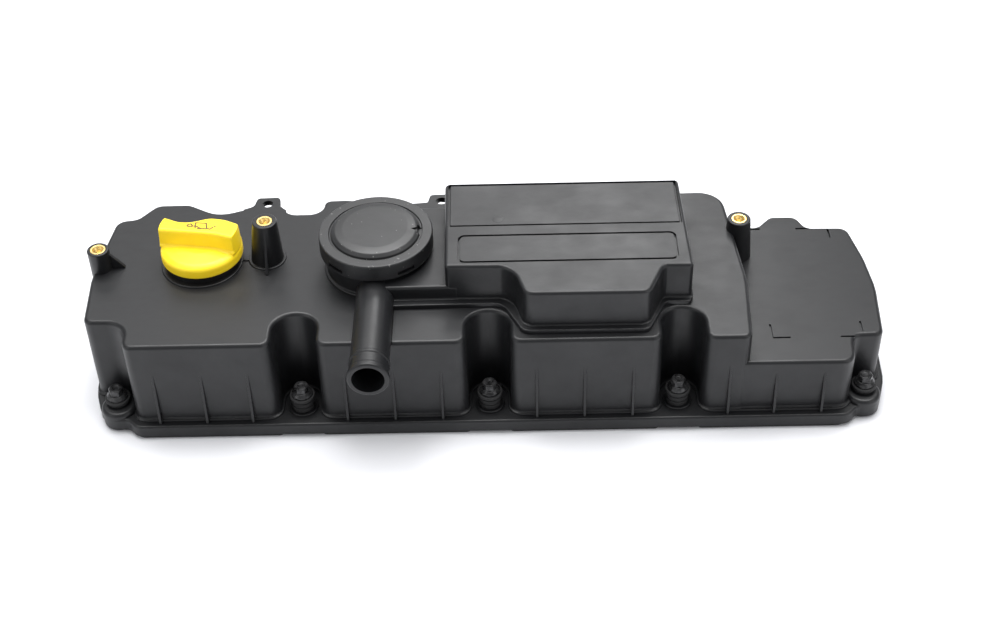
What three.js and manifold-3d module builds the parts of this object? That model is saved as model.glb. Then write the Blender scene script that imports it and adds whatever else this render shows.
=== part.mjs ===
// Cylinder head cover with oil separator, pressure regulator and filler cap.
// Millimetres, +Z up, -Y is the front, X runs along the engine. Heights start at the sealing plane.
import * as THREE from "three";
import { mergeVertices } from "three/addons/utils/BufferGeometryUtils.js";
import Module from "manifold-3d";

const wasm = await Module();
wasm.setup();

// ---- driving dimensions -------------------------------------------------------------------
const BOLT_PITCH = 98.5; // along the head, five bolts in each row
const FRONT_ROW_Y = 8.5;
const REAR_ROW_Y = 115;
const INNER_FRONT_Y = 4.6; // the inner front bolts stand this much nearer the front edge
const TALL_GROMMET = 5.2; // and this much higher
const REAR_SHIFT = -3; // the three inner rear bolts sit this far left of the front ones
const WALL = 3; // moulding wall
const DRAFT = 0.6; // the walls spread by this much toward their foot
const STEP = 2; // the step runs round the walls this far outside them
const FLANGE_UNDER = 1; // the gasket lip stands this far below the flange
const FLANGE_TOP = 8.4;
const STEP_TOP = 9.4; // narrow step between flange and wall, and the seat of the inner bolts
const CORNER_SEAT = 11.4; // seat of the four corner bolts
const LOW_TOP = 41; // right-hand end
const TOP = 59.5; // main top face
const LEDGE_TOP = 62; // weld ledge of the separator
const BOX_TOP = 83.5;
const REG = { x: -58.4, y: 60 }; // regulator axis
const HOUSING_R = 27;
const HOUSING_TOP = 79;
const CHAMBER_FLOOR = 54;
const PIPE_TOP = 73.2; // valve seat
const STUB = { r: 9.9, bore: 8.2, z: 62, end: -32.2 };
const NECK = { x: -152.5, y: 65.6, bore: 16.6, r: 19.6, top: 63.5 };
const THREAD_LEAD = 30; // rise per turn of the filler thread
const CAP_R = 21.7;
const CAP_UNDER = 64.5;
const HANDLE_TOP = 82.5;
const ARC = Math.PI / 6; // facet angle of rounded corners

const BLACK = { color: 0x26272a, roughness: 0.55 };
const RUBBER = { color: 0x141415, roughness: 0.85 };
const STEEL = { color: 0x2b2b2d, roughness: 0.4, metalness: 0.8 };
const BRASS = { color: 0xc9a050, roughness: 0.3, metalness: 1 };
const YELLOW = { color: 0xf5c51c, roughness: 0.4 };

// ---- shape helpers ------------------------------------------------------------------------
function solid(geometry) {
  const bare = geometry.index ? geometry.toNonIndexed() : geometry.clone();
  bare.deleteAttribute("normal");
  bare.deleteAttribute("uv");
  const merged = mergeVertices(bare, 1e-4);
  return new wasm.Manifold(
    new wasm.Mesh({
      numProp: 3,
      vertProperties: merged.attributes.position.array,
      triVerts: new Uint32Array(merged.index.array),
    }),
  );
}

function join(...solids) {
  return solids.reduce((a, b) => a.add(b));
}

// The points of an outline given by anticlockwise corners [x, y, radius], moved outward by grow.
function rounded(corners, grow = 0) {
  const n = corners.length;
  const edge = corners.map(([x, y], i) => {
    const [u, v] = corners[(i + 1) % n];
    const d = new THREE.Vector2(u - x, v - y).normalize();
    return { d, p: new THREE.Vector2(x + d.y * grow, y - d.x * grow) };
  });
  const moved = corners.map((c, i) => {
    const a = edge[(i + n - 1) % n];
    const b = edge[i];
    const cross = a.d.cross(b.d);
    const along = b.p.clone().sub(a.p).cross(b.d) / cross;
    return { at: a.p.clone().addScaledVector(a.d, along), a: a.d, b: b.d, cross, r: c[2] };
  });
  const points = [];
  for (const { at, a, b, cross, r } of moved) {
    const radius = Math.max(0.2, r + Math.sign(cross) * grow);
    const turn = Math.asin(Math.min(1, Math.abs(cross)));
    const angle = a.dot(b) < 0 ? Math.PI - turn : turn;
    const reach = radius * Math.tan(angle / 2);
    const side = Math.sign(cross);
    const centre = at.clone().addScaledVector(a, -reach);
    centre.add(new THREE.Vector2(-a.y, a.x).multiplyScalar(radius * side));
    const start = Math.atan2(-a.x * side, a.y * side);
    const steps = Math.max(1, Math.round(angle / ARC));
    for (let k = 0; k <= steps; k++) {
      const t = start + (side * angle * k) / steps;
      points.push(new THREE.Vector2(centre.x + radius * Math.cos(t), centre.y + radius * Math.sin(t)));
    }
  }
  return points;
}

// A prism over such an outline between two heights. Its top rim is chamfered by edge, and its foot
// spreads by draft.
function prism(corners, grow, z0, z1, edge = 0, draft = 0) {
  const points = rounded(corners, grow);
  const inset = rounded(corners, grow - edge);
  const spread = rounded(corners, grow + draft);
  const indexAt = (x, y) => points.findIndex((p) => Math.hypot(p.x - x, p.y - y) < 0.001);
  const g = new THREE.ExtrudeGeometry(new THREE.Shape(points), {
    depth: 2,
    steps: edge > 0 ? 2 : 1,
    bevelEnabled: false,
  });
  const at = g.attributes.position;
  for (let i = 0; i < at.count; i++) {
    const level = at.getZ(i);
    const ring = level > 1.5 && edge > 0 ? inset : level < 0.5 && draft > 0 ? spread : points;
    if (ring !== points) {
      const to = ring[indexAt(at.getX(i), at.getY(i))];
      at.setXY(i, to.x, to.y);
    }
    at.setZ(i, level < 0.5 ? z0 : level < 1.5 ? z1 - edge : z1);
  }
  return solid(g);
}

function block(x0, x1, y0, y1, z0, z1) {
  const g = new THREE.BoxGeometry(x1 - x0, y1 - y0, z1 - z0);
  g.translate((x0 + x1) / 2, (y0 + y1) / 2, (z0 + z1) / 2);
  return solid(g);
}

// An upright cylinder or cone; lean moves its foot along X.
function drum(x, y, z0, z1, r0, r1 = r0, sides = 20, lean = 0) {
  const g = new THREE.CylinderGeometry(r1, r0, z1 - z0, sides);
  g.rotateX(Math.PI / 2);
  g.applyMatrix4(new THREE.Matrix4().makeShear(0, 0, 0, 0, -lean / (z1 - z0), 0));
  g.translate(lean / 2, 0, 0);
  g.translate(x, y, (z0 + z1) / 2);
  return solid(g);
}

// A body of revolution about an upright axis, from [radius, height] pairs running anticlockwise.
function turned(x, y, profile, sides = 24) {
  const points = profile.map(([r, z]) => new THREE.Vector2(r, z));
  if (profile[0][0] > 0) points.push(points[0].clone());
  const g = new THREE.LatheGeometry(points, sides);
  g.rotateX(Math.PI / 2);
  g.translate(x, y, 0);
  return solid(g);
}

// A rod along Y.
function rod(x, z, y0, y1, r, sides = 20) {
  const g = new THREE.CylinderGeometry(r, r, y1 - y0, sides);
  g.translate(x, (y0 + y1) / 2, z);
  return solid(g);
}

// Thread ridge: a bar wrapped round the neck axis that climbs with the lead.
function ridge(r0, r1, z, height, from, sweep) {
  const g = new THREE.BoxGeometry(1, 1, 1, 6, 1, 1);
  const p = g.attributes.position;
  for (let i = 0; i < p.count; i++) {
    const share = p.getX(i) + 0.5;
    const a = from + share * sweep;
    const r = p.getY(i) < 0 ? r1 : r0;
    const rise = (THREAD_LEAD * share * sweep) / (2 * Math.PI);
    p.setXYZ(i, NECK.x + r * Math.cos(a), NECK.y + r * Math.sin(a), z + rise + height * p.getZ(i));
  }
  return solid(g);
}

// A thin upright plate in the XZ plane, from [reach, height] points running anticlockwise.
function fin(x, y, points, thick) {
  const shape = new THREE.Shape(points.map(([u, v]) => new THREE.Vector2(u, v)));
  const g = new THREE.ExtrudeGeometry(shape, { depth: thick, bevelEnabled: false });
  g.rotateX(Math.PI / 2);
  g.translate(x, y + thick / 2, 0);
  return solid(g);
}

// The same plate in the YZ plane, reaching toward -Y.
function wedge(x, y, points, thick) {
  const shape = new THREE.Shape(points.map(([u, v]) => new THREE.Vector2(u, v)));
  const g = new THREE.ExtrudeGeometry(shape, { depth: thick, bevelEnabled: false });
  g.rotateX(Math.PI / 2);
  g.rotateZ(-Math.PI / 2);
  g.translate(x + thick / 2, y, 0);
  return solid(g);
}

const root = new THREE.Group();

function add(name, shape, look) {
  const m = shape.getMesh();
  const g = new THREE.BufferGeometry();
  g.setAttribute("position", new THREE.BufferAttribute(m.vertProperties, 3));
  g.setIndex(new THREE.BufferAttribute(m.triVerts, 1));
  g.computeVertexNormals();
  const mesh = new THREE.Mesh(g, new THREE.MeshStandardMaterial(look));
  mesh.name = name;
  root.add(mesh);
}

// ---- outlines -----------------------------------------------------------------------------
// A channel cut into a wall round a bolt, as four corners in running order.
function channel(x, half, mouth, back, lip, deep) {
  const s = back > mouth ? 1 : -1;
  return [
    [x - s * half, mouth, lip],
    [x - s * half, back, deep],
    [x + s * half, back, deep],
    [x + s * half, mouth, lip],
  ];
}

const FRONT = -3;
const MAIN_WALL = [
  [-185.6, FRONT, 5],
  ...channel(-99, 11.5, FRONT, 20.6, 5.5, 11.2),
  ...channel(0, 11.5, FRONT, 20.6, 5.5, 11.2),
  ...channel(99.6, 11.2, FRONT, 20.6, 5.5, 10.9),
  [133.4, FRONT, 4.5],
  [136.4, 42, 60],
  [130.4, 118.8, 14],
  ...channel(BOLT_PITCH + REAR_SHIFT, 10, 118.6, 105, 3, 9),
  ...channel(REAR_SHIFT, 10, 117, 105, 3, 8),
  [-42, 113.8, 12],
  [-80, 117.8, 8],
  [-91.8, 117.4, 4],
  [-91.8, 105.4, 8],
  [-111.2, 105.4, 8],
  [-116, 115, 5],
  [-131, 112.8, 8],
  [-150, 105.8, 16],
  [-167.6, 116.2, 9],
  [-185.8, 116, 7],
  [-195, 103.8, 6],
  [-206, 102.2, 7],
  [-211.4, 56, 60],
  [-208.6, 17, 5],
  [-186, 16.7, 11],
];
const LOW_WALL = [
  [120, FRONT, 1],
  [187.7, FRONT, 7.5],
  [189.6, 16.9, 5],
  [205.6, 17.6, 5],
  [208.6, 56, 40],
  [206.6, 80, 40],
  [201.4, 107.2, 6],
  [179, 107.8, 5],
  [174.2, 118.2, 6],
  [159.6, 118.2, 5],
  [151.6, 109.2, 6],
  [120, 109, 1],
];
const FLANGE = [
  [-185.2, -8.9, 7],
  [187.2, -8.9, 9],
  [192.2, -2.8, 4],
  [202.4, -2.9, 7],
  [206.8, 7.5, 12],
  [210, 18, 20],
  [212, 55, 60],
  [207.4, 106, 6],
  [187.5, 107, 3],
  [185.5, 124, 7],
  [-186, 124, 7],
  [-188, 107, 3],
  [-211.5, 105.9, 7],
  [-215, 55, 60],
  [-210.8, 17.4, 20],
  [-207, 6, 10],
  [-199.6, -3.3, 7],
  [-190.6, -3.4, 4],
];
const SEAL_LINE = [
  [-188.2, -8.4, 7],
  ...channel(-BOLT_PITCH, 9.8, -8.4, 18.2, 3, 9.4),
  ...channel(0, 9.8, -8.4, 18.2, 3, 9.4),
  ...channel(BOLT_PITCH, 9.8, -8.4, 18.2, 3, 9.4),
  [189, -8.4, 8],
  [187.8, 18.6, 9],
  [208.8, 18.6, 6],
  [211.2, 55, 60],
  [206.6, 103.8, 6],
  [186.8, 104.2, 9],
  [186.8, 123.4, 6],
  ...channel(BOLT_PITCH + REAR_SHIFT, 9.8, 123.4, 105.3, 3, 9.4),
  ...channel(REAR_SHIFT, 9.8, 123.4, 105.3, 3, 9.4),
  ...channel(-BOLT_PITCH + REAR_SHIFT, 9.8, 123.4, 105.3, 3, 9.4),
  [-187.2, 123.4, 6.5],
  [-187.2, 104.2, 9],
  [-211, 103.8, 6],
  [-214.4, 55, 60],
  [-210.6, 18.8, 6],
  [-187.6, 18.6, 9],
];
const LEDGE = [
  [-56, 22.6, 2],
  [7.5, 23.2, 8],
  [17.8, 1.8, 6],
  [81.8, 1.5, 5],
  [91.6, 22.4, 4],
  [105, 22.3, 2],
  [104.6, 98.4, 2],
  [-56, 98.4, 2],
];
const BOX = [
  [-21.4, 27.8, 2],
  [105.2, 25.6, 2],
  [103.6, 98.4, 2.5],
  [-22.6, 98.4, 3],
];
// low front lobe of the separator, level with the top of its box
const BUMP = [
  [-6, 28, 0.6],
  [12.8, 27.6, 13],
  [19, 5.5, 6.5],
  [81.4, 5.3, 6.5],
  [90.4, 26.4, 6],
  [98, 26.3, 0.6],
  [98, 40, 1],
  [-6, 40, 1],
];

const PANEL = [
  [-14.3, 31, 3],
  [97.6, 31, 3],
  [97.6, 52.4, 3],
  [-14.3, 52.4, 3],
];

// ---- bolts: position and seat height --------------------------------------------------------
const BOLTS = [];
[
  ["front", FRONT_ROW_Y],
  ["rear", REAR_ROW_Y],
].forEach(([row, y]) => {
  for (let i = 0; i < 5; i++) {
    const corner = i === 0 || i === 4;
    BOLTS.push({
      tag: row + "_" + (i + 1),
      x: (i - 2) * BOLT_PITCH + (row === "rear" && !corner ? REAR_SHIFT : 0),
      y: row === "front" && !corner ? INNER_FRONT_Y : y,
      corner,
      seat: corner ? CORNER_SEAT : STEP_TOP,
      // the inner front bolts stand on tall grommets with three tiers
      tall: row === "front" && !corner ? TALL_GROMMET : 0,
    });
  }
});

// ---- threaded bosses on the outside, with brass inserts --------------------------------------
const BOSSES = [
  { tag: "left", x: -206.7, y: 61.4, foot: 30, top: 72, r0: 6.2, r1: 5.8, depth: 14 },
  { tag: "middle", x: -117.2, y: 66.5, foot: 57, top: 85, r0: 9, r1: 6.5, depth: 16, lean: -1.2 },
  { tag: "right", x: 136.5, y: 85, foot: 39, top: 66, r0: 8.2, r1: 6.2, depth: 14 },
];
const INSERT_R = 4.2;

// ---- cover shell ----------------------------------------------------------------------------
function coverShell() {
  let s = join(
    prism(FLANGE, 0, FLANGE_UNDER, FLANGE_TOP),
    prism(MAIN_WALL, STEP, 3, STEP_TOP),
    prism(LOW_WALL, STEP, 3, STEP_TOP),
    prism(MAIN_WALL, 0, 3, TOP, 1.4, DRAFT),
    prism(LOW_WALL, 0, 3, LOW_TOP, 1.4),
    // step at the corner where the low end meets the main block
    block(118, 131, FRONT + 1.7, 100, 20, LOW_TOP - 1.7),
  );
  for (const b of BOLTS) {
    if (!b.corner) s = s.add(drum(b.x, b.y, FLANGE_UNDER, b.seat, 7.7));
    else {
      const inward = b.y < 50 ? -2.2 : 2.2;
      s = s.add(drum(b.x * 0.997, b.y + inward, FLANGE_UNDER, b.seat, 9.4));
    }
  }
  // stiffening ribs on the front wall, three to a bay
  for (const x of [24.6, 49.4, 74.4, 124, 148.1, 172.8]) {
    for (const side of [-1, 1]) {
      const top = side * x > 140 ? 34 : 43;
      const low = STEP_TOP - 2;
      s = s.add(wedge(side * x, FRONT, [[-1, low], [4, low], [0, top], [-1, top]], 1.4));
    }
  }
  // two lugs that overhang the back edge
  for (const x of [-123.7, -26.4]) {
    const lug = [
      [x - 13.4, 107, 1],
      [x + 11.4, 106, 1],
      [x + 11, 109.4, 1],
      [x + 7.4, 112.6, 3],
      [x + 6.6, 121, 2.2],
      [x - 6.2, 120.6, 2.2],
      [x - 7.6, 113, 4],
      [x - 13, 110.6, 1],
    ];
    s = s.add(prism(lug, 0, TOP - 3.2, TOP, 0.5));
  }
  for (const b of BOSSES) {
    s = s.add(drum(b.x, b.y, b.foot, b.top, b.r0, b.r1, 20, b.lean ?? 0));
  }
  // rib at the front of the middle boss, gusset beside the left one
  const [left, middle] = BOSSES;
  s = join(
    s,
    wedge(middle.x, middle.y - 6, [[0, TOP - 1], [8.6, TOP - 1], [8.6, TOP + 0.6], [0, 76]], 1.4),
    drum(middle.x - 1.2, middle.y, TOP - 1, TOP + 0.8, 10.3, 10, 20),
    // web between that boss and the filler neck
    block(-131.5, -126.5, 64.4, 66.8, TOP - 1, TOP + 0.7),
    fin(left.x, left.y, [[0, TOP - 1], [12.6, TOP - 1], [12.6, TOP + 1], [4, 71], [0, 71]], 1.8),
    // inner thickening under the regulator and the hose stub
    drum(REG.x, REG.y, 47.5, TOP - 1, 30.5),
    block(REG.x - 13.5, REG.x + 13.5, FRONT + 1, REG.y, 47.5, TOP - 1),
    // filler neck with its base ring
    drum(NECK.x - 0.6, NECK.y - 1.5, TOP - 1, TOP + 0.9, 22, 21.7, 32),
  );

  // hollow underside
  const seal = prism(SEAL_LINE, -6.2, 0, TOP);
  const main = prism(MAIN_WALL, -WALL, 0, TOP - WALL).intersect(seal);
  const low = prism(LOW_WALL, -WALL, 0, LOW_TOP - WALL).intersect(seal);
  s = s.subtract(
    main.subtract(
      join(
        drum(REG.x, REG.y, 47.5, TOP, 30.5),
        block(REG.x - 13.5, REG.x + 13.5, FRONT, REG.y, 47.5, TOP),
        ...BOSSES.slice(0, 2).map((b) => drum(b.x, b.y, b.top - b.depth - 4, TOP, 7.5, 7.5, 20)),
        drum(BOSSES[2].x, BOSSES[2].y, BOSSES[2].top - 18, TOP, 7.5, 7.5, 20),
      ),
    ),
  );
  s = s.subtract(low);
  s = s.add(drum(NECK.x, NECK.y, 50, NECK.top, NECK.r, NECK.r, 32));
  s = s.subtract(drum(NECK.x, NECK.y, 40, 70, NECK.bore, NECK.bore, 32));
  for (const turn of [0, Math.PI]) {
    s = s.add(ridge(NECK.bore - 1, NECK.bore + 1, 56.7, 2, turn, 0.9));
  }

  // seats of the regulator housing and hose stub, gas passages up into the separator
  s = s.subtract(
    join(
      drum(REG.x, REG.y, CHAMBER_FLOOR - 2.9, TOP + 1, HOUSING_R + 0.4, HOUSING_R + 0.4, 32),
      rod(REG.x, STUB.z, FRONT - 3, REG.y, STUB.r + 0.4),
      block(0, 30, 60, 70, 50, TOP + 1),
      block(60, 90, 60, 70, 50, TOP + 1),
      block(40, 50, 31, 38, 50, TOP + 1),
    ),
  );
  // insert pockets, lug holes, bolt holes
  for (const b of BOSSES) {
    s = s.subtract(drum(b.x, b.y, b.top - b.depth, b.top + 1, INSERT_R + 0.1, INSERT_R + 0.1, 20));
  }
  for (const [x, y] of [
    [-123.5, 114.6],
    [-26, 114.4],
  ]) {
    s = s.subtract(drum(x, y, TOP - 5, TOP + 1, 3, 3, 16));
  }
  for (const b of BOLTS) {
    s = s.subtract(drum(b.x, b.y, 0, 20, 5.6, 5.6, 16));
  }
  // witness marks on the low end
  for (const [x0, x1, y0, y1] of [
    [145.6, 152.7, 106, 107.2],
    [172.7, 180.7, 105.8, 107],
    [190.1, 191.1, 97.9, 105.4],
    [146.9, 147.9, 16, 26.4],
    [147.2, 156.9, 15.6, 16.6],
    [182.8, 190.3, 15.6, 16.6],
    [194.2, 195.2, 19.6, 27.7],
  ]) {
    s = s.subtract(block(x0, x1, y0, y1, LOW_TOP - 1.2, LOW_TOP + 1));
  }
  return s;
}
add("cover_shell", coverShell(), BLACK);

// ---- gasket -----------------------------------------------------------------------------------
add(
  "sealing_gasket",
  prism(SEAL_LINE, 0, 0, FLANGE_UNDER).subtract(prism(SEAL_LINE, -5, -1, 2)),
  RUBBER,
);

// Turn of each of the four catch windows about the regulator axis, in two pairs.
function windowTurn(k) {
  return (k < 2 ? 0 : Math.PI) - 0.07 + (k % 2 ? 0.67 : -0.67);
}

// ---- separator cover with regulator housing and hose stub -------------------------------------
function separatorCover() {
  let s = join(
    prism(LEDGE, 0, TOP, LEDGE_TOP),
    prism(BOX, 0, TOP, BOX_TOP, 1.2),
    prism(BUMP, 0, TOP, BOX_TOP, 1.2),
    block(-52, -20, 27.5, 96.6, TOP, 70),
  );
  s = s.subtract(
    join(
      prism(BOX, -2.4, TOP - 1, BOX_TOP - 2.4),
      prism(BUMP, -2.4, TOP - 1, BOX_TOP - 2.4),
      drum(REG.x, REG.y, TOP - 1, 90, 24.5, 24.5, 32),
    ),
  );
  const floor = CHAMBER_FLOOR;
  const housing = turned(
    REG.x,
    REG.y,
    [
      [0, floor - 2.5],
      [HOUSING_R, floor - 2.5],
      [HOUSING_R, TOP],
      [28.3, TOP],
      [28.3, TOP + 1.2],
      [HOUSING_R, TOP + 1.6],
      [HOUSING_R, HOUSING_TOP],
      [24.5, HOUSING_TOP],
      [24.5, floor],
      [0, floor],
    ],
    32,
  );
  s = join(
    s,
    housing,
    drum(REG.x, REG.y, floor - 1, PIPE_TOP, 10.4),
    drum(REG.x, REG.y, 70.6, 72.2, 14.6),
    rod(REG.x, STUB.z, STUB.end + 0.6, REG.y, STUB.r),
    rod(REG.x, STUB.z, STUB.end, STUB.end + 3, STUB.r + 0.7),
    rod(REG.x, STUB.z, STUB.end + 10.5, STUB.end + 12, STUB.r + 0.5),
  );
  // barbs that catch the windows of the regulator cover
  for (let k = 0; k < 4; k++) {
    const g = new THREE.BoxGeometry(9, 2.4, 1.8);
    g.translate(0, -HOUSING_R - 0.4, 75.2);
    g.rotateZ(windowTurn(k));
    g.translate(REG.x, REG.y, 0);
    s = s.add(solid(g));
  }
  return s.subtract(
    join(
      drum(REG.x, REG.y, floor + 0.5, 90, STUB.bore),
      rod(REG.x, STUB.z, STUB.end - 1, REG.y, STUB.bore),
      block(-40, -17, 45, 75, 62.5, 67.5),
      // seat of the label plate, and the groove that frames the panel in front of it
      prism([[-20.4, 60.2, 1], [102.4, 60.2, 1], [102, 97.1, 1], [-20.8, 97.1, 1]], 0, 82.2, 90),
      prism(PANEL, 0.5, 82.7, 90).subtract(prism(PANEL, -0.5, 80, 91)),
    ),
  );
}
add("separator_cover", separatorCover(), BLACK);
add(
  "label_plate",
  prism([[-19.2, 61.4, 0.8], [101.2, 61.4, 0.8], [100.8, 95.8, 0.8], [-19.6, 95.8, 0.8]], 0, 82.2, 83.4),
  BLACK,
);

// ---- oil baffle under the gas passages ----------------------------------------------------------
add(
  "oil_baffle",
  join(
    block(-6, 96, 52, 54, 42, TOP - WALL),
    block(-6, 96, 76, 78, 42, TOP - WALL),
    block(-6, 96, 52, 78, 42, 44),
    block(-6, -4, 52, 78, 42, TOP - WALL - 5),
  ).subtract(drum(45, 65, 40, 45, 2.5, 2.5, 12)),
  BLACK,
);

// ---- regulator ----------------------------------------------------------------------------------
function regulatorCover() {
  let s = turned(
    REG.x,
    REG.y,
    [
      [0, 82.4],
      [21.4, 82.2],
      [23.4, 80.2],
      [27.9, 80.2],
      [27.9, 72.6],
      [30, 72.6],
      [30, 81.2],
      [29.2, 82],
      [24.6, 82],
      [24.1, 81.7],
      [23.5, 82],
      [21.6, 83.8],
      [17.4, 84.8],
      [0, 84.9],
    ],
    36,
  );
  for (let k = 0; k < 4; k++) {
    const g = new THREE.BoxGeometry(10, 4, 2.6);
    g.translate(0, -28.8, 75.3);
    g.rotateZ(windowTurn(k));
    g.translate(REG.x, REG.y, 0);
    s = s.subtract(solid(g));
  }
  // breather notch at the right of the domed disc
  return s.subtract(block(REG.x + 21.8, REG.x + 24.4, REG.y - 3.5, REG.y + 2.5, 81.2, 86));
}
add("regulator_cover", regulatorCover(), BLACK);
add(
  "regulator_diaphragm",
  turned(
    REG.x,
    REG.y,
    [
      [12.9, 79.1],
      [15, 79.1],
      [17, 80.6],
      [19.4, 81.2],
      [21.6, 80.4],
      [23.4, 79.1],
      [26.8, 79.1],
      [26.8, 79.9],
      [23.7, 79.9],
      [21.9, 81.1],
      [19.4, 82],
      [16.6, 81.3],
      [14.6, 79.9],
      [12.9, 79.9],
    ],
    20,
  ),
  RUBBER,
);
add(
  "regulator_plate",
  turned(
    REG.x,
    REG.y,
    [
      [0, 77.4],
      [15.4, 77.4],
      [15.4, 79],
      [12.6, 79],
      [12.6, 80.6],
      [0, 80.6],
    ],
    24,
  ),
  BLACK,
);

function regulatorSpring() {
  const TURNS = 2;
  class Coil extends THREE.Curve {
    getPoint(t) {
      const a = 2 * Math.PI * TURNS * t;
      const r = 13.6 - 1.9 * t;
      return new THREE.Vector3(
        REG.x + r * Math.cos(a),
        REG.y + r * Math.sin(a),
        72.75 + 4.1 * t,
      );
    }
  }
  const wire = new THREE.Shape().absarc(0, 0, 0.45, 0, 2 * Math.PI);
  return solid(
    new THREE.ExtrudeGeometry(wire, { extrudePath: new Coil(), steps: 14 * TURNS, curveSegments: 5 }),
  );
}
add("regulator_spring", regulatorSpring(), STEEL);

// ---- filler cap -----------------------------------------------------------------------------------
function fillerCap() {
  const { x, y } = NECK;
  const body = turned(
    x,
    y,
    [
      [0, 67.4],
      [12.8, 67.4],
      [12.8, 52],
      [15.2, 52],
      [15.2, 65.6],
      [20.1, 65.6],
      [20.1, CAP_UNDER],
      [21.2, CAP_UNDER],
      [CAP_R, CAP_UNDER + 0.7],
      [CAP_R, 68.4],
      [20.8, 70.4],
      [18.8, 71.6],
      [10, 72.6],
      [0, 72.8],
    ],
    40,
  );
  const grip = [
    [-24, -1.1, 1],
    [8.9, -6, 8],
    [23, -10.9, 1],
    [24, 0.9, 1],
    [13.4, 6.5, 9],
    [5.5, 8.1, 9],
    [-4.8, 4.8, 9],
    [-10.9, 5.2, 9],
    [-23, 11.2, 1],
  ].map(([u, v, r]) => [x + u, y + v, r]);
  const cone = drum(x, y, 67, HANDLE_TOP, CAP_R + 0.1, 20.8, 40);
  const handle = prism(grip, 0, 66, HANDLE_TOP, 0.9).intersect(cone);
  const hollow = prism(grip, -2.2, 66, HANDLE_TOP - 2.4).intersect(drum(x, y, 66, 90, 12.8));
  let cap = body.add(handle).subtract(hollow);
  for (const turn of [0, Math.PI]) {
    cap = cap.add(ridge(14.6, 16.2, 54, 2, turn, 0.9));
  }
  return cap;
}
add("filler_cap", fillerCap(), YELLOW);
add(
  "cap_seal",
  turned(
    NECK.x,
    NECK.y,
    [
      [15.6, NECK.top],
      [19.4, NECK.top],
      [19.8, NECK.top + 1],
      [19.4, 65.5],
      [15.6, 65.5],
    ],
    32,
  ),
  RUBBER,
);

// ---- brass inserts ----------------------------------------------------------------------------------
for (const b of BOSSES) {
  const z0 = b.top - b.depth + 2;
  const insert = turned(
    b.x,
    b.y,
    [
      [2.5, z0],
      [3.3, z0],
      [3.3, b.top - 5],
      [4.1, b.top - 4.2],
      [4.1, b.top],
      [3, b.top],
      [2.5, b.top - 0.6],
    ],
    14,
  );
  add("insert_" + b.tag, insert, BRASS);
}

// ---- captive bolts, their sleeves and grommets --------------------------------------------------------
// grooves between the tiers of a tall grommet
const TIERS = [
  [5.8, 2.2],
  [5.1, 2.5],
  [5.1, 2.9],
  [5.8, 3.2],
  [5.8, 5.3],
  [5.1, 5.6],
  [5.1, 6],
  [5.8, 6.3],
];
for (const b of BOLTS) {
  const ring = b.seat + b.tall; // foot of the wide upper ring of the grommet
  const under = ring + 3.6;
  const stem = turned(
    b.x,
    b.y,
    [
      [0, 0.6],
      [2.5, 0.6],
      [2.5, under],
      [5.5, under],
      [5.5, under + 0.9],
      [4.2, under + 2.2],
      [0, under + 2.2],
    ],
    14,
  );
  const head = new THREE.CylinderGeometry(4.04, 4.04, 4.9, 6);
  head.rotateX(Math.PI / 2);
  head.translate(b.x, b.y, under + 3.45);
  add("bolt_" + b.tag, stem.add(solid(head)), STEEL);
  add(
    "bolt_sleeve_" + b.tag,
    turned(
      b.x,
      b.y,
      [
        [3.1, 1.2],
        [4.1, 1.2],
        [4.1, under],
        [3.1, under],
      ],
      10,
    ),
    STEEL,
  );
  add(
    "bolt_grommet_" + b.tag,
    turned(
      b.x,
      b.y,
      [
        [4.4, 3],
        [5.3, 3],
        [5.3, b.seat],
        [5.8, b.seat],
        ...(b.tall ? TIERS.map(([r, z]) => [r, b.seat + z]) : []),
        [5.8, ring + 1.5],
        [6.7, ring + 1.7],
        [6.7, ring + 3.4],
        [4.4, ring + 3.4],
      ],
      12,
    ),
    RUBBER,
  );
}

// ---- origin at the middle of the footprint ----------------------------------------------------------------
root.name = "cylinder_head_cover";
const size = new THREE.Box3().setFromObject(root);
const centre = size.getCenter(new THREE.Vector3());
root.position.set(-centre.x, -centre.y, -size.min.z);

export default root;
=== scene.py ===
"""Looks of the cylinder head cover: detailed pieces, materials, light and camera."""
import math

import bmesh
import bpy
from mathutils import Matrix, Vector


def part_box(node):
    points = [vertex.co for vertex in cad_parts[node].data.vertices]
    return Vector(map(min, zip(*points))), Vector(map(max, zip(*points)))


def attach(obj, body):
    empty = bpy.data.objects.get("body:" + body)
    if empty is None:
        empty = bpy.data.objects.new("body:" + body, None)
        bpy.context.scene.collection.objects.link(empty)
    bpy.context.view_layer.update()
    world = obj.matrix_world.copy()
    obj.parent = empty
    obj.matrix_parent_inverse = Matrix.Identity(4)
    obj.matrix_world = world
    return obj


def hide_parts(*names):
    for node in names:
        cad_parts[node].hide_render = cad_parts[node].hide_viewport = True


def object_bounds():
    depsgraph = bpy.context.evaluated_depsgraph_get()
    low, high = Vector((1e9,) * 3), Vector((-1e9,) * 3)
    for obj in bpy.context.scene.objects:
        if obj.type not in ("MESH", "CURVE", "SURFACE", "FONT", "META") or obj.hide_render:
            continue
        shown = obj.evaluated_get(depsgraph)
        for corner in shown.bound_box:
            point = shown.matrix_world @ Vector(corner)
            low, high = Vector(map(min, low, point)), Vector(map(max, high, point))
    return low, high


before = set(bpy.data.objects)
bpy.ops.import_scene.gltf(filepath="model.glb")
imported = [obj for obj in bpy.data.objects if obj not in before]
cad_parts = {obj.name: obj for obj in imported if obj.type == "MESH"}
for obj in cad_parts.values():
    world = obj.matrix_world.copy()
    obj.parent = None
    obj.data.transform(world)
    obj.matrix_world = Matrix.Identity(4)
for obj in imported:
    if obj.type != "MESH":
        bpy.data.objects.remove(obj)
CAD_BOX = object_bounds()
scene = bpy.context.scene

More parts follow.
